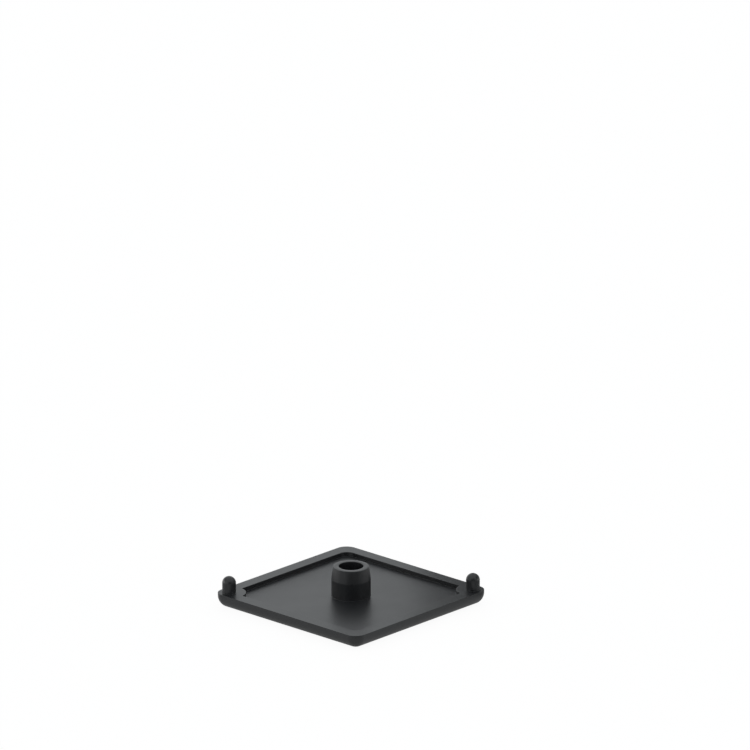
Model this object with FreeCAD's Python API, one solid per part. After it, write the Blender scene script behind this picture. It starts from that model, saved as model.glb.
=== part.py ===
import FreeCAD
import Part
import math
import os

# Profile end cap, moulded in one piece.
# It lies on its flat outer face, with the side that is pushed home upwards.
# A rim stands round a shallow recess. A hollow boss rises from the middle of the recess floor,
# and its tapered tip leads it into the bore that holds it.
# Two round-ended pins stand on the rim in opposite corners and stop the cap from turning.
# Each pin rises from a round pad, which widens the rim into the recess.
# The origin is the middle of the outer face, +Z runs up through the boss, and units are millimetres.

# Plate
side = 45.0
plate_thickness = 3.4
edge_radius = 2.75            # upright corners, and the edge that rolls over to the outer face

# Recess
rim_width = 3.0
floor_thickness = 2.4
recess_corner_radius = 2.2    # the two corners that hold no pin
notch_radius = 0.3            # where the recess meets a pad

# Pins and their pads
pin_inset = 2.65              # from both sides of its corner to the pin's axis
pin_diameter = 3.2
pin_height = 3.9              # rim to the top of the round end
pad_diameter = 7.8

# Boss
boss_diameter = 9.1
boss_height = 7.05            # recess floor to the flat tip
tip_diameter = 8.25
taper_length = 3.0
bore_diameter = 5.7

# Small breaks and roundings of the mould
edge_break = 0.05             # chamfer on both edges of the rim, and round the boss's tip
root_radius = 0.05            # round the recess floor, and at the feet of the boss and the pins

# Working values
least_band = 0.3              # upright band always left between the rolled edge and the rim's top
cutter_overrun = 1.0          # how far a cutter reaches past the face that it starts from
bury = 0.5                    # how deep the boss and the pins are sunk into the plate to join it
same_size = 0.001             # lengths and heights nearer than this count as one

Z_AXIS = FreeCAD.Vector(0, 0, 1)

# The pins stand at the corners where x and y have the same sign
pin_offset = side / 2 - pin_inset
PIN_PLACES = [(-pin_offset, -pin_offset), (pin_offset, pin_offset)]


def square_block(width, low, high):
    """A block with a square base, centred on the Z axis, from one height to another."""
    corner = FreeCAD.Vector(-width / 2, -width / 2, low)
    return Part.makeBox(width, width, high - low, corner)


def is_upright(edge):
    """Whether an edge runs straight up."""
    start, end = edge.Vertexes[0].Point, edge.Vertexes[-1].Point
    return (start - end).cross(Z_AXIS).Length < same_size < (start - end).Length


def lies_at(edge, height):
    """Whether the whole edge lies level at a height."""
    heights = [vertex.Z for vertex in edge.Vertexes] + [edge.CenterOfMass.z]
    return all(abs(z - height) < same_size for z in heights)


def circles(shape, diameter, height):
    """The full circles of a diameter that lie level at a height."""
    return [
        edge for edge in shape.Edges
        if edge.isClosed() and lies_at(edge, height)
        and abs(edge.Length - math.pi * diameter) < same_size
    ]


def lathe(outline):
    """The solid that a closed outline in the XZ plane makes when it turns round the Z axis."""
    return Part.Face(outline).revolve(FreeCAD.Vector(), Z_AXIS, 360)


def at(radius, height):
    """A point of a lathe outline."""
    return FreeCAD.Vector(radius, 0, height)


def outer_plate():
    """The full plate. One radius rounds its upright corners and the edge of its outer face."""
    block = square_block(side, 0, plate_thickness)
    rounded = [edge for edge in block.Edges if not lies_at(edge, plate_thickness)]
    return block.makeFillet(min(edge_radius, plate_thickness - least_band), rounded)


def pads():
    """The round pads under the pins, taller than the recess at both ends."""
    base = floor_thickness - cutter_overrun
    height = plate_thickness + cutter_overrun - base
    return [
        Part.makeCylinder(pad_diameter / 2, height, FreeCAD.Vector(x, y, base), Z_AXIS)
        for x, y in PIN_PLACES
    ]


def recess():
    """The space inside the rim: a square with two rounded corners, and two that the pads fill."""
    space = square_block(side - 2 * rim_width, floor_thickness, plate_thickness + cutter_overrun)
    plain_corners = [
        edge for edge in space.Edges
        if is_upright(edge) and edge.CenterOfMass.x * edge.CenterOfMass.y < 0
    ]
    space = space.makeFillet(recess_corner_radius, plain_corners)
    space = space.cut(pads())
    notches = [edge for edge in space.Edges if is_upright(edge) and meets_a_pad(edge)]
    return space.makeFillet(notch_radius, notches)


def meets_a_pad(edge):
    """Whether an upright edge of the recess runs down the side of a pad."""
    middle = edge.CenterOfMass
    reaches = [math.hypot(middle.x - x, middle.y - y) for x, y in PIN_PLACES]
    return any(abs(reach - pad_diameter / 2) < same_size for reach in reaches)


def dished_plate():
    """The plate with its recess: the rim's edges broken, and a radius all round the floor."""
    plate = outer_plate().cut(recess())
    rim_edges = [edge for edge in plate.Edges if lies_at(edge, plate_thickness)]
    plate = plate.makeChamfer(edge_break, rim_edges)
    floor_edges = [edge for edge in plate.Edges if lies_at(edge, floor_thickness)]
    return plate.makeFillet(root_radius, floor_edges)


def boss():
    """The hollow boss: straight up to the taper, then narrowing to its flat tip."""
    tip = floor_thickness + boss_height
    foot = floor_thickness - bury
    outline = Part.makePolygon([
        at(bore_diameter / 2, foot),
        at(boss_diameter / 2, foot),
        at(boss_diameter / 2, tip - taper_length),
        at(tip_diameter / 2, tip),
        at(bore_diameter / 2, tip),
        at(bore_diameter / 2, foot),
    ])
    tube = lathe(outline)
    return tube.makeChamfer(edge_break, circles(tube, tip_diameter, tip))


def pin(x, y):
    """One pin: a straight shank with a half-round end."""
    radius = pin_diameter / 2
    top = at(0, plate_thickness + pin_height)
    shoulder = at(radius, top.z - radius)
    slant = radius * math.cos(math.radians(45))
    halfway = at(slant, shoulder.z + slant)
    foot = plate_thickness - bury
    shank = Part.makePolygon([top, at(0, foot), at(radius, foot), shoulder])
    round_end = Part.Arc(shoulder, halfway, top).toShape()
    turned = lathe(Part.Wire(shank.Edges + [round_end]))
    turned.translate(FreeCAD.Vector(x, y, 0))
    return turned


def end_cap():
    """The whole moulding as one solid, with a radius at the feet of the boss and the pins."""
    body = dished_plate().fuse([boss()] + [pin(x, y) for x, y in PIN_PLACES])
    feet = circles(body, boss_diameter, floor_thickness) + circles(body, pin_diameter, plate_thickness)
    return body.makeFillet(root_radius, feet)


os.makedirs("parts", exist_ok=True)
cap = end_cap()
cap.exportStep("parts/end_cap.step")
print("end_cap:", len(cap.Solids), "solid,", round(cap.Volume, 1), "mm3, sound:", cap.isValid())
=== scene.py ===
# %% [markdown]
# # A moulded end cap
#
# This lesson builds one small black plastic part and photographs it in a white studio. The part is
# injection moulded in one piece: a square plate with a rolled outer edge, a rim round a shallow
# recess, a hollow boss in the middle, and two round-ended pins in opposite corners. The packed
# model gives the exact size. It is loaded first and never moved.

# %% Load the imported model
import math

import bmesh
import bpy
from mathutils import Matrix, Vector


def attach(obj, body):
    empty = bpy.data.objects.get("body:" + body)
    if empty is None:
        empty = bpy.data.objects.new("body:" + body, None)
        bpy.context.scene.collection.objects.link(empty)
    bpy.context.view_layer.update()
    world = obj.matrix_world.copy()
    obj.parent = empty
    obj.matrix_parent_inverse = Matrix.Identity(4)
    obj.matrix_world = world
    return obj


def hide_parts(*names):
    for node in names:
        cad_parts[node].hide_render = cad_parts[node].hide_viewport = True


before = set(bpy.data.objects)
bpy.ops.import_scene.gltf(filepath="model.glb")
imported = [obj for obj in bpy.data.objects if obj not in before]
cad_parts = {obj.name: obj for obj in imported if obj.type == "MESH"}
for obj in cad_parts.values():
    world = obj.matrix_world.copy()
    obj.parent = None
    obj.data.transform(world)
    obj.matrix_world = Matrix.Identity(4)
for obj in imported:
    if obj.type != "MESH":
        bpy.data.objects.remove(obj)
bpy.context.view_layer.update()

METRES_PER_MM = 0.001

print("nodes:", sorted(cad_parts))

# %% [markdown]
# ## Sizes
#
# All sizes are in millimetres and carry the names that a toolmaker would use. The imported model
# already has this shape, but its surface is made of loose triangles of very different sizes, and
# light would show them on the rolled edges. So the cap is modelled again here, on the same sizes,
# with even bands of faces round every edge. It is drawn in millimetres and scaled to metres at the
# end.

# %% Sizes in millimetres
SIDE = 45.0
PLATE_THICKNESS = 3.4
EDGE_RADIUS = 2.75              # upright corners, and the edge that rolls over to the outer face

RIM_WIDTH = 3.0
FLOOR_THICKNESS = 2.4
RECESS_CORNER_RADIUS = 2.2      # the two corners that hold no pin
NOTCH_RADIUS = 0.3              # where the recess meets a pad

PIN_INSET = 2.65                # from both sides of its corner to the pin's axis
PIN_DIAMETER = 3.2
PIN_HEIGHT = 3.9                # rim to the top of the round end
PAD_DIAMETER = 7.8

BOSS_DIAMETER = 9.1
BOSS_HEIGHT = 7.05              # recess floor to the flat tip
TIP_DIAMETER = 8.25
TAPER_LENGTH = 3.0
BORE_DIAMETER = 5.7

EDGE_BREAK = 0.05               # how much is taken off the sharp upper edges
ROOT_RADIUS = 0.05              # round the recess floor, and at the feet of the boss and the pins
LEVEL_BAND = 0.25               # strip of flat face that is kept beside a rounding
TINY = 0.001                    # points nearer than this count as one
WELD_GAP = 0.0001               # the last weld closes only gaps that are narrower still

pin_offset = SIDE / 2 - PIN_INSET
tip_height = FLOOR_THICKNESS + BOSS_HEIGHT
print("pins at", pin_offset, "mm from the middle, tip at", tip_height, "mm")

# %% [markdown]
# ## The plate
#
# The plate is what covers the opening. Its outer edge rolls over, so that no hand catches on it. It
# could be a rounded outline pulled upwards, but then the rolled edge would need a profile swept
# round it, and the corners are parts of a ball. A cube whose upright and lower edges are bevelled
# together gives both at once, because three bevels of one radius meet in a ball corner. The cube
# stops a hair below the rim, which leaves room for the small broken edge on top.

# %% Bevel a cube into the plate
ROLLED_EDGE_SEGMENTS = 20

cap = bmesh.new()
plate_height = PLATE_THICKNESS - EDGE_BREAK
bmesh.ops.create_cube(cap, size=1.0)
bmesh.ops.scale(cap, vec=(SIDE, SIDE, plate_height), verts=cap.verts)
bmesh.ops.translate(cap, vec=(0, 0, plate_height / 2), verts=cap.verts)
rolled = [edge for edge in cap.edges if min(vert.co.z for vert in edge.verts) < TINY]
bmesh.ops.bevel(
    cap, geom=rolled, offset=EDGE_RADIUS, offset_type="OFFSET", segments=ROLLED_EDGE_SEGMENTS,
    profile=0.5, affect="EDGES", material=-1,
)
print("plate:", len(cap.faces), "faces")

# %% [markdown]
# ## Narrow bands round an edge
#
# A moulded edge is never perfectly sharp, and the thin line of light along it tells the eye so. The
# Bevel tool needs tidy faces on both sides. Drawing a flat face inwards in short steps needs none:
# each step leaves a narrow band behind, and the steps follow a quarter circle. A level band beside
# each rounding keeps the wide flat face from borrowing its shading.

# %% Draw a face inwards in steps
BREAK_STEPS = 3
ROOT_STEPS = 4


def quarter_round(radius, steps):
    """Steps from an upright wall over to a level face. Each says how far inwards, how far upwards."""
    turns = [math.radians(90) * step / steps for step in range(steps + 1)]
    return [
        (radius * (math.cos(low) - math.cos(high)), radius * (math.sin(high) - math.sin(low)))
        for low, high in zip(turns, turns[1:])
    ]


def downwards(steps):
    """The same steps, going down instead of up."""
    return [(inward, -upward) for inward, upward in steps]


def draw_inwards(face, steps):
    """Insets a face again and again, and takes the last inner face away."""
    for inward, upward in steps:
        bmesh.ops.inset_region(
            cap, faces=[face], thickness=inward, depth=upward,
            use_even_offset=True, use_boundary=True,
        )
    bmesh.ops.delete(cap, geom=[face], context="FACES_ONLY")


top_face = max(cap.faces, key=lambda face: face.calc_center_median().z)
draw_inwards(top_face, quarter_round(EDGE_BREAK, BREAK_STEPS) + [(LEVEL_BAND, 0)])
print("with its broken edge:", len(cap.faces), "faces")

# %% [markdown]
# ## The recess
#
# The recess saves plastic and leaves a rim to sit on. Its outline is a square with two rounded
# corners. In the other two, a round pad reaches in under each pin and leaves a small notch on each
# side. The outline could be cut with solid shapes, but a cut leaves ragged faces along it. Here it
# is drawn with a pen point instead: swung about a centre by the Spin tool, the point leaves an arc,
# and pushed to a new place it leaves a straight line. One half of the outline is drawn, then the
# other with every place turned half round. It starts a little outside the recess, on the rim, where
# its level band begins.

# %% Draw lines and arcs with a pen point
UP = (0, 0, 1)
SIDEWAYS = (0, 1, 0)


def line_to(pen, x, y, z):
    """Pushes a copy of the pen point to a place and leaves a straight edge."""
    moved = bmesh.ops.extrude_vert_indiv(cap, verts=[pen])["verts"][0]
    moved.co = (x, y, z)
    return moved


def arc(pen, centre, axis, degrees, steps):
    """Swings a copy of the pen point about a centre and leaves an edge for each step."""
    swung = bmesh.ops.spin(
        cap, geom=[pen], cent=centre, axis=axis, dvec=(0, 0, 0), angle=math.radians(degrees),
        steps=steps, use_merge=False, use_normal_flip=False, use_duplicate=False,
    )
    return next(item for item in swung["geom_last"] if isinstance(item, bmesh.types.BMVert))


print("the pen turns about", UP, "and", SIDEWAYS)

# %% Draw the recess outline
NOTCH_STEPS = 10
PAD_STEPS = 28
PLAIN_CORNER_STEPS = 18

outset = EDGE_BREAK + LEVEL_BAND
recess_side = SIDE / 2 - RIM_WIDTH
wall = recess_side + outset
corner = recess_side - RECESS_CORNER_RADIUS
notch_y = recess_side - NOTCH_RADIUS
notch_reach = PAD_DIAMETER / 2 + NOTCH_RADIUS
notch_x = pin_offset - math.sqrt(notch_reach ** 2 - (pin_offset - notch_y) ** 2)
lean = math.degrees(math.asin((pin_offset - notch_y) / notch_reach))

start = pen = cap.verts.new((corner, -wall, PLATE_THICKNESS))
for half in (1, -1):
    pen = line_to(pen, -half * notch_x, -half * wall, PLATE_THICKNESS)
    pen = arc(pen, (-half * notch_x, -half * notch_y, PLATE_THICKNESS), UP, lean - 90, NOTCH_STEPS)
    pad_centre = (-half * pin_offset, -half * pin_offset, PLATE_THICKNESS)
    pen = arc(pen, pad_centre, UP, 90 - 2 * lean, PAD_STEPS)
    pen = arc(pen, (-half * notch_y, -half * notch_x, PLATE_THICKNESS), UP, lean - 90, NOTCH_STEPS)
    pen = line_to(pen, -half * wall, half * corner, PLATE_THICKNESS)
    pen = arc(pen, (-half * corner, half * corner, PLATE_THICKNESS), UP, -90, PLAIN_CORNER_STEPS)
print("the outline misses its start by", round((pen.co - start.co).length, 5), "mm")

# %% [markdown]
# The closed outline becomes one face, which is then drawn inwards and down: over the broken edge of
# the rim, down the wall, round the small radius at its foot, and out onto the floor.

# %% Sink the recess
bmesh.ops.remove_doubles(cap, verts=[pen, start], dist=TINY)
outline = [edge for edge in cap.edges if edge.is_wire]
recess_face = bmesh.ops.edgeloop_fill(cap, edges=outline)["faces"][0]
recess_face.normal_update()
if recess_face.normal.z < 0:
    recess_face.normal_flip()

wall_drop = PLATE_THICKNESS - FLOOR_THICKNESS - EDGE_BREAK - ROOT_RADIUS
over_the_mouth = [(inward, upward) for upward, inward in quarter_round(EDGE_BREAK, BREAK_STEPS)]
draw_inwards(
    recess_face,
    [(LEVEL_BAND, 0)] + downwards(over_the_mouth) + [(0, -wall_drop)]
    + downwards(quarter_round(ROOT_RADIUS, ROOT_STEPS)) + [(LEVEL_BAND, 0)],
)
print("with the recess:", len(cap.faces), "faces")

# %% [markdown]
# ## The boss and the pins
#
# The boss is pushed into a round bore and holds the cap. It is hollow, because a thick lump of
# plastic would shrink as it cools and leave a dent on the outer face. The pins stop the cap from
# turning. All three are turned shapes, so a half section is drawn with the same pen and spun all
# the way round. Cylinders and cones could be stacked, but their feet would only pass through the
# plate instead of growing from it. Each section starts on the flat face beside its foot and runs
# through the small radius there. A mould has that radius at every foot, because a sharp inner
# corner would let the part crack.

# %% Turned shapes
FOOT_STEPS = 5


def start_section(x, y, radius, level):
    """Draws the level band and the small radius round a foot. Gives the pen point above them."""
    pen = cap.verts.new((x + radius + ROOT_RADIUS + LEVEL_BAND, y, level))
    pen = line_to(pen, x + radius + ROOT_RADIUS, y, level)
    return arc(pen, (x + radius + ROOT_RADIUS, y, level + ROOT_RADIUS), SIDEWAYS, 90, FOOT_STEPS)


def turn_section(x, y, steps):
    """Spins the drawn section all the way round an upright axis and welds it to itself."""
    section = [edge for edge in cap.edges if edge.is_wire]
    points = list({vert for edge in section for vert in edge.verts})
    bmesh.ops.spin(
        cap, geom=points + section, cent=(x, y, 0), axis=UP, dvec=(0, 0, 0),
        angle=math.radians(360), steps=steps, use_merge=True, use_normal_flip=False,
        use_duplicate=False,
    )
    bmesh.ops.remove_doubles(cap, verts=cap.verts, dist=TINY)


print("each foot is rounded in", FOOT_STEPS, "steps")

# %% Turn the boss
BOSS_STEPS = 144

boss_radius = BOSS_DIAMETER / 2
bore_radius = BORE_DIAMETER / 2
tip_radius = TIP_DIAMETER / 2
taper_start = tip_height - TAPER_LENGTH

pen = start_section(0, 0, boss_radius, FLOOR_THICKNESS)
pen = line_to(pen, boss_radius, 0, taper_start)
pen = line_to(pen, tip_radius, 0, tip_height)
pen = line_to(pen, bore_radius, 0, tip_height)
pen = line_to(pen, bore_radius, 0, FLOOR_THICKNESS)
line_to(pen, 0, 0, FLOOR_THICKNESS)
turn_section(0, 0, BOSS_STEPS)
print("with the boss:", len(cap.faces), "faces")

# %% [markdown]
# The boss has four round edges left to soften. Its faces are tidy bands, so here the Bevel tool
# works. Where the taper starts, the edge stays crisp, because it is the line that the light breaks
# on.

# %% Soften the boss's round edges
CREASE_WIDTH = 0.05
CREASE_SEGMENTS = 2


def ring(radius, level):
    """The edges of the boss that lie on a circle at a level."""
    return [
        edge for edge in cap.edges
        if all(
            abs(vert.co.z - level) < TINY and abs(vert.co.xy.length - radius) < TINY
            for vert in edge.verts
        )
    ]


for radius, level, width, segments in (
    (boss_radius, taper_start, CREASE_WIDTH, CREASE_SEGMENTS),
    (tip_radius, tip_height, EDGE_BREAK, CREASE_SEGMENTS),
    (bore_radius, tip_height, EDGE_BREAK, CREASE_SEGMENTS),
    (bore_radius, FLOOR_THICKNESS, ROOT_RADIUS, ROOT_STEPS),
):
    bmesh.ops.bevel(
        cap, geom=ring(radius, level), offset=width, offset_type="OFFSET", segments=segments,
        profile=0.5, affect="EDGES", material=-1,
    )
print("with soft edges:", len(cap.faces), "faces")

# %% [markdown]
# A pin is a straight shank with a half-round end, which finds its place without catching.

# %% Turn the two pins
PIN_STEPS = 72
ROUND_END_STEPS = 16

pin_radius = PIN_DIAMETER / 2
shoulder = PLATE_THICKNESS + PIN_HEIGHT - pin_radius
for place in (-pin_offset, pin_offset):
    pen = start_section(place, place, pin_radius, PLATE_THICKNESS)
    pen = line_to(pen, place + pin_radius, place, shoulder)
    arc(pen, (place, place, shoulder), SIDEWAYS, -90, ROUND_END_STEPS)
    turn_section(place, place, PIN_STEPS)
print("with the pins:", len(cap.faces), "faces")

# %% [markdown]
# ## Closing the flat faces
#
# The rim's top and the recess floor are still open: each is a gap between loops of edges that lie
# at one level. Triangle Fill closes such a gap and leaves the holes where the boss and the pins
# rise.

# %% Fill the rim's top and the recess floor
for level in (PLATE_THICKNESS, FLOOR_THICKNESS):
    loops = [
        edge for edge in cap.edges
        if edge.is_boundary and all(abs(vert.co.z - level) < TINY for vert in edge.verts)
    ]
    filled = bmesh.ops.triangle_fill(
        cap, use_beauty=True, use_dissolve=False, edges=loops, normal=UP
    )
    print("level", level, "closed with", len(filled["geom"]), "edges and faces")

bmesh.ops.remove_doubles(cap, verts=cap.verts, dist=WELD_GAP)
bmesh.ops.recalc_face_normals(cap, faces=cap.faces)
open_edges = [edge for edge in cap.edges if not edge.is_manifold]
print("open edges:", len(open_edges), "volume in mm3:", round(cap.calc_volume(signed=True), 1))

# %% [markdown]
# ## From drawing to object
#
# The drawing becomes an object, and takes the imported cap's place in the picture. Shading is smooth
# all over. Weighted Normal lets the widest face at each point decide how the light falls, so the
# flat faces look flat right up to their narrow bands.

# %% Make the object
FLAT_FACES_LEAD = 100           # the modifier's strongest setting

bmesh.ops.scale(cap, vec=(METRES_PER_MM,) * 3, verts=cap.verts)
moulding_mesh = bpy.data.meshes.new("end_cap_moulding")
cap.to_mesh(moulding_mesh)
cap.free()
moulding_mesh.shade_smooth()
moulding = bpy.data.objects.new("end_cap_moulding", moulding_mesh)
bpy.context.scene.collection.objects.link(moulding)

even_shading = moulding.modifiers.new("even_shading", "WEIGHTED_NORMAL")
even_shading.weight = FLAT_FACES_LEAD
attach(moulding, "root")
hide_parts("end_cap")
print("triangles:", sum(len(face.vertices) - 2 for face in moulding_mesh.polygons))

# %% [markdown]
# ## Colours and nodes
#
# Colours are written as a painter's hex values, which are bent for the screen. Light adds up in
# straight numbers, so one function unbends them. One more function adds a node, sets it and links
# it.

# %% Helpers for materials
def linear(hex_colour):
    """Turns a screen colour such as #18191B into the straight numbers that light is counted in."""
    channels = [int(hex_colour[place:place + 2], 16) / 255 for place in (1, 3, 5)]
    return tuple(
        channel / 12.92 if channel <= 0.04045 else ((channel + 0.055) / 1.055) ** 2.4
        for channel in channels
    ) + (1.0,)


def add_node(tree, kind, settings=None, links=None):
    """Adds a node, sets its properties and inputs, and links inputs to (node, output) pairs."""
    node = tree.nodes.new(kind)
    for name, value in (settings or {}).items():
        if isinstance(name, int) or name in node.inputs:
            node.inputs[name].default_value = value
        else:
            setattr(node, name, value)
    for name, (source, output) in (links or {}).items():
        tree.links.new(source.outputs[output], node.inputs[name])
    return node


def new_material(name):
    """An empty material with a node tree."""
    material = bpy.data.materials.new(name)
    material.use_nodes = True
    material.node_tree.nodes.clear()
    return material


def per_metre(size_mm):
    """A texture scale whose features are about this size."""
    return 1 / (size_mm * METRES_PER_MM)


print("a 1 mm pattern has the scale", per_metre(1.0))

# %% [markdown]
# ## Black moulded polyamide
#
# The real plastic is black all through, with a satin skin. A mould for such parts is finished by
# spark erosion, which leaves shallow pits about a tenth of a millimetre wide. They spread every
# reflection a little. Seen at a flat angle the skin mirrors the white room as a soft grey, and seen
# from above it is nearly black. A plain black with one roughness would come close, but it looks
# like paint: too even to be moulded. So three things make the look: a near-black colour, a middling
# roughness, both drifting a little where the melt froze sooner or later, and the grain of the mould
# as a very shallow bump.

# %% Make the polyamide
GRAIN_MM = 0.3                  # the real pits are 0.1 mm, too fine to show, so these are coarser
GRAIN_DEPTH_MM = 0.002
DRIFT_MM = 7.0                  # patches where the melt froze together
NOISE_LOW, NOISE_HIGH = 0.3, 0.7    # nearly all of a noise texture lies between these
SMOOTHEST, ROUGHEST = 0.36, 0.39
DARKER_BLACK, LIGHTER_BLACK = "#151618", "#191A1C"
SKIN_IOR = 1.5                  # solid polyamide has 1.53, but the pits swallow some light

polyamide = new_material("black_moulded_polyamide_satin")
tree = polyamide.node_tree
on_object = add_node(tree, "ShaderNodeTexCoord")
drift = add_node(
    tree, "ShaderNodeTexNoise", {"Scale": per_metre(DRIFT_MM), "Detail": 2.0, "Roughness": 0.5},
    {"Vector": (on_object, "Object")},
)
grain = add_node(
    tree, "ShaderNodeTexNoise", {"Scale": per_metre(GRAIN_MM), "Detail": 3.0, "Roughness": 0.6},
    {"Vector": (on_object, "Object")},
)
roughness = add_node(
    tree, "ShaderNodeMapRange",
    {"From Min": NOISE_LOW, "From Max": NOISE_HIGH, "To Min": SMOOTHEST, "To Max": ROUGHEST},
    {"Value": (drift, "Fac")},
)
colour = add_node(
    tree, "ShaderNodeMix",
    {"data_type": "RGBA", "A": linear(DARKER_BLACK), "B": linear(LIGHTER_BLACK)},
    {"Factor": (drift, "Fac")},
)
pits = add_node(
    tree, "ShaderNodeBump",
    {"Strength": 1.0, "Distance": GRAIN_DEPTH_MM * METRES_PER_MM}, {"Height": (grain, "Fac")},
)
skin = add_node(
    tree, "ShaderNodeBsdfPrincipled", {"IOR": SKIN_IOR},
    {
        "Base Color": (colour, "Result"), "Roughness": (roughness, "Result"),
        "Normal": (pits, "Normal"),
    },
)
add_node(tree, "ShaderNodeOutputMaterial", links={"Surface": (skin, "BSDF")})
moulding_mesh.materials.append(polyamide)
print("material:", polyamide.name)

# %% [markdown]
# ## The camera
#
# The photograph looks down on the cap from 20 degrees above the table, towards one of its corners,
# through a very long lens: the edges that run away from the eye hardly draw together. The angles,
# the distance and the lens came from measuring such edges, and so did the place in the picture of
# the middle of the cap's outer face. The cap lies low in the picture. Shifting the lens would put
# it there, but a shift would go along into every other view, so the camera is turned by two small
# angles instead.

# %% Set the camera
AZIMUTH = 42.885
ELEVATION = 19.741
DISTANCE_M = 2.627
LENS_MM = 547.5
SENSOR_MM = 36.0
PICTURE_PIXELS = 750
MIDDLE_PIXEL = (351.06, 604.64)

azimuth, elevation = math.radians(AZIMUTH), math.radians(ELEVATION)
towards_camera = Vector((math.sin(azimuth), -math.cos(azimuth), 0))
sight_line = towards_camera * math.cos(elevation) + Vector(UP) * math.sin(elevation)

lens_pixels = LENS_MM / SENSOR_MM * PICTURE_PIXELS
turned_left = math.atan((MIDDLE_PIXEL[0] - PICTURE_PIXELS / 2) / lens_pixels)
turned_up = math.atan((MIDDLE_PIXEL[1] - PICTURE_PIXELS / 2) / lens_pixels)

long_lens = bpy.data.cameras.new("long_lens")
long_lens.lens = LENS_MM
long_lens.sensor_width = SENSOR_MM
camera = bpy.data.objects.new("long_lens", long_lens)
bpy.context.scene.collection.objects.link(camera)
bpy.context.scene.camera = camera

facing_cap = (-sight_line).to_track_quat("-Z", "Y").to_matrix()
turned = Matrix.Rotation(turned_left, 3, "Y") @ Matrix.Rotation(turned_up, 3, "X")
camera.matrix_world = Matrix.Translation(sight_line * DISTANCE_M) @ (facing_cap @ turned).to_4x4()
turns = [round(math.degrees(turn), 3) for turn in (turned_left, turned_up)]
print("camera turned by", turns, "degrees")

# %% [markdown]
# ## A white studio
#
# The photograph has a pure white ground with hardly a shadow on it, yet the black skin mirrors it
# as a pale grey. A white floor under bright lamps would give both only by drowning the cap in
# light. So the paper gets light of its own for direct looks, for mirrored looks and for looks
# through glass. For a direct look that light is nearly everything. The rest is plain paper, on
# which the cap's shadow falls. To all other looks that plain paper is pale grey, so that it throws
# less light up at the cap.

# %% Lay the paper
FLOOR_MM = 3000.0
GLOW_SEEN = 0.94                # how much of a direct look meets the paper's own light
GLOW_MIRRORED = 0.35            # the same for a mirrored look, or one through glass
WHITE = "#FFFFFF"
PALE_PAPER = "#C8C8C8"


def add_stage_piece(name, shape, material):
    """Turns a drawn shape into a piece of the studio."""
    mesh = bpy.data.meshes.new(name)
    shape.to_mesh(mesh)
    shape.free()
    mesh.materials.append(material)
    piece = bpy.data.objects.new(name, mesh)
    bpy.context.scene.collection.objects.link(piece)
    return piece


paper = new_material("white_studio_paper")
tree = paper.node_tree
rays = add_node(tree, "ShaderNodeLightPath")
mirrored = add_node(
    tree, "ShaderNodeMath", {"operation": "ADD"},
    {0: (rays, "Is Glossy Ray"), 1: (rays, "Is Transmission Ray")},
)
mirrored_glow = add_node(
    tree, "ShaderNodeMath", {"operation": "MULTIPLY", 1: GLOW_MIRRORED}, {0: (mirrored, 0)}
)
glow_share = add_node(
    tree, "ShaderNodeMath", {"operation": "MULTIPLY_ADD", 1: GLOW_SEEN},
    {0: (rays, "Is Camera Ray"), 2: (mirrored_glow, 0)},
)
sheet_colour = add_node(
    tree, "ShaderNodeMix", {"data_type": "RGBA", "A": linear(PALE_PAPER), "B": linear(WHITE)},
    {"Factor": (rays, "Is Camera Ray")},
)
sheet = add_node(tree, "ShaderNodeBsdfDiffuse", links={"Color": (sheet_colour, "Result")})
glow = add_node(tree, "ShaderNodeEmission", {"Color": linear(WHITE), "Strength": 1.0})
both = add_node(
    tree, "ShaderNodeMixShader", links={0: (glow_share, 0), 1: (sheet, 0), 2: (glow, 0)}
)
add_node(tree, "ShaderNodeOutputMaterial", links={"Surface": (both, 0)})

floor_shape = bmesh.new()
bmesh.ops.create_grid(floor_shape, x_segments=1, y_segments=1, size=FLOOR_MM * METRES_PER_MM / 2)
add_stage_piece("studio_floor", floor_shape, paper)
print("floor:", FLOOR_MM, "mm wide")

# %% [markdown]
# ## Light in the room
#
# A white room lights the cap evenly from all sides, with a hint of blue, as on an overcast day.
# Lamps would draw hard lights on the round forms, and the photograph shows none.

# %% Fill the room with light
DAYLIGHT = "#F9FDFF"
DAYLIGHT_STRENGTH = 1.0         # white things look white in it

room = bpy.data.worlds.new("white_room")
bpy.context.scene.world = room
room.use_nodes = True
room.node_tree.nodes.clear()
daylight = add_node(
    room.node_tree, "ShaderNodeBackground",
    {"Color": linear(DAYLIGHT), "Strength": DAYLIGHT_STRENGTH},
)
add_node(room.node_tree, "ShaderNodeOutputWorld", links={"Surface": (daylight, "Background")})
print("world:", room.name)

# %% [markdown]
# ## Boards for the black skin to mirror
#
# Black plastic shows its shape by what it mirrors, so a photographer stands boards round it,
# outside the picture. A grey one behind on the right darkens the flat faces from left to right, and
# a darker one in front draws the dark stripe down the middle of the boss. Each side gets three
# more: a lit strip that brightens the flank of the boss's taper, a felt wall behind it that keeps
# its upright wall dark, and a grey card on the floor that keeps the pins dark. Lamps could do it
# too, but they would light the paper as well. These are met by mirrored looks alone, so they throw
# neither light nor shadow on it.

# %% Helpers for the boards
CARD_LIFT_MM = 0.05             # keeps a lying card clear of the paper


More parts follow.
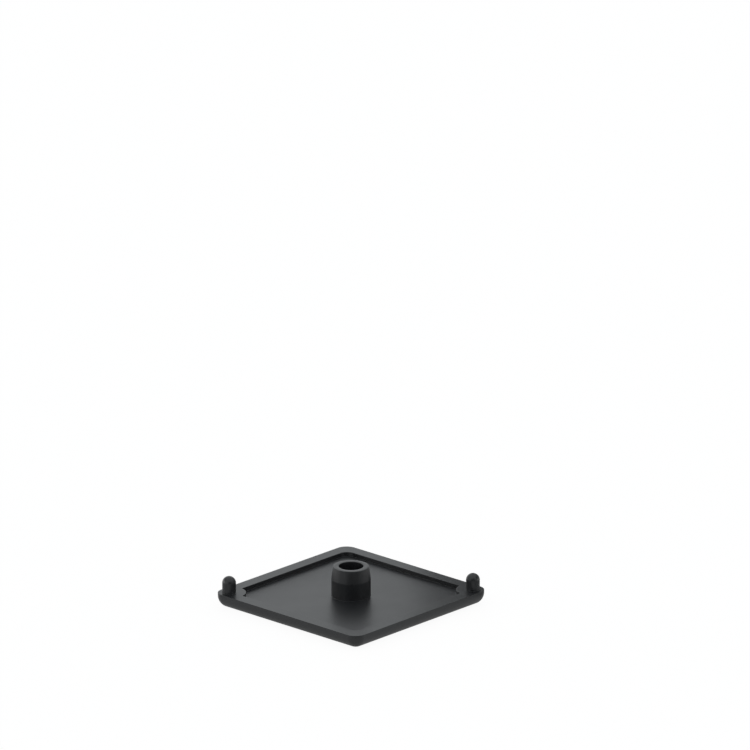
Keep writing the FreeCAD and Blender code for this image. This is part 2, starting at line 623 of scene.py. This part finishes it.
def board(name, material, width_mm, height_mm, place_mm, turned_degrees, upright=True):
    """Sets a board that only mirrored looks meet on the floor, either upright or lying flat."""
    tip_up = Matrix.Rotation(math.radians(90 if upright else 0), 3, "X")
    turn = Matrix.Rotation(math.radians(turned_degrees), 3, "Z")
    lift = height_mm / 2 if upright else CARD_LIFT_MM
    shape = bmesh.new()
    bmesh.ops.create_grid(shape, x_segments=1, y_segments=1, size=0.5)
    bmesh.ops.scale(shape, vec=(width_mm, height_mm, 1), verts=shape.verts)
    bmesh.ops.rotate(shape, matrix=turn @ tip_up, verts=shape.verts)
    bmesh.ops.translate(shape, vec=place_mm + Vector(UP) * lift, verts=shape.verts)
    bmesh.ops.scale(shape, vec=(METRES_PER_MM,) * 3, verts=shape.verts)
    piece = add_stage_piece(name, shape, material)
    piece.visible_camera = piece.visible_diffuse = piece.visible_shadow = False


def matt_felt(name, colour):
    """Felt that swallows part of the light that falls on it and shines nowhere."""
    felt = new_material(name)
    surface = add_node(felt.node_tree, "ShaderNodeBsdfDiffuse", {"Color": linear(colour)})
    add_node(felt.node_tree, "ShaderNodeOutputMaterial", links={"Surface": (surface, 0)})
    return felt


def lit_fabric(name, strength):
    """White fabric with a lamp behind it. Strength 1 is as bright as the room."""
    fabric = new_material(name)
    surface = add_node(
        fabric.node_tree, "ShaderNodeEmission", {"Color": linear(WHITE), "Strength": strength}
    )
    add_node(fabric.node_tree, "ShaderNodeOutputMaterial", links={"Surface": (surface, 0)})
    return fabric


def beside(degrees_left):
    """The level direction from the cap that lies this far to the left of the camera's."""
    return Matrix.Rotation(math.radians(-degrees_left), 3, "Z") @ towards_camera


FRONT, LEFT, BACK, RIGHT = 0, 90, 180, -90
print("the camera stands towards", [round(part, 3) for part in beside(FRONT)])

# %% Stand the two large boards
BACK_BOARD_MM = (130, 75)       # width and height
BACK_BOARD_AWAY_MM = (70, 82)   # back, and to the right
FRONT_BOARD_MM = (190, 85)
FRONT_BOARD_AWAY_MM = (110, 38)     # forwards, and to the right

pale_felt = matt_felt("pale_grey_felt_matt", "#A6A6A6")
dark_felt = matt_felt("dark_grey_felt_matt", "#5C5C5C")
back, right = BACK_BOARD_AWAY_MM
behind_right = beside(BACK) * back + beside(RIGHT) * right
forwards, right = FRONT_BOARD_AWAY_MM
in_front = beside(FRONT) * forwards + beside(RIGHT) * right
board("grey_board", pale_felt, *BACK_BOARD_MM, behind_right, AZIMUTH)
board("dark_board", dark_felt, *FRONT_BOARD_MM, in_front, AZIMUTH)
print("large boards:", BACK_BOARD_MM, FRONT_BOARD_MM, "mm")

# %% Dress both sides
STRIP_AWAY_MM = 93
WALL_AWAY_MM = 100
WALL_MM = (110, 75)             # width and height
CARD_MM = (90, 200)             # width and depth


def dress_side(side, flank, strip_mm, brightness, wall_grey, across, card_grey, card_start_mm):
    """Stands a lit strip before a felt wall on one flank of the cap, and lays a grey card there."""
    facing = AZIMUTH - flank
    strip_fabric = lit_fabric(side + "_white_fabric_lit", brightness)
    wall_felt = matt_felt(side + "_wall_felt_matt", wall_grey)
    card_felt = matt_felt(side + "_card_felt_matt", card_grey)
    card_middle = beside(across) * (card_start_mm + CARD_MM[0] / 2)
    board(side + "_strip", strip_fabric, *strip_mm, beside(flank) * STRIP_AWAY_MM, facing)
    board(side + "_wall", wall_felt, *WALL_MM, beside(flank) * WALL_AWAY_MM, facing)
    board(side + "_card", card_felt, *CARD_MM, card_middle, AZIMUTH, upright=False)
    print(side, "side: strip of", strip_mm, "mm, brightness", brightness)


dress_side(
    "left", flank=100, strip_mm=(90, 30), brightness=2.4, wall_grey="#909090",
    across=LEFT, card_grey="#B4B4B4", card_start_mm=38,
)
dress_side(
    "right", flank=-98, strip_mm=(75, 20), brightness=1.85, wall_grey="#707070",
    across=RIGHT, card_grey="#A0A0A0", card_start_mm=35,
)

# %% [markdown]
# ## Finish
#
# The picture keeps plain screen colours.

# %% Finish with plain screen colours
bpy.context.scene.view_settings.view_transform = "Standard"
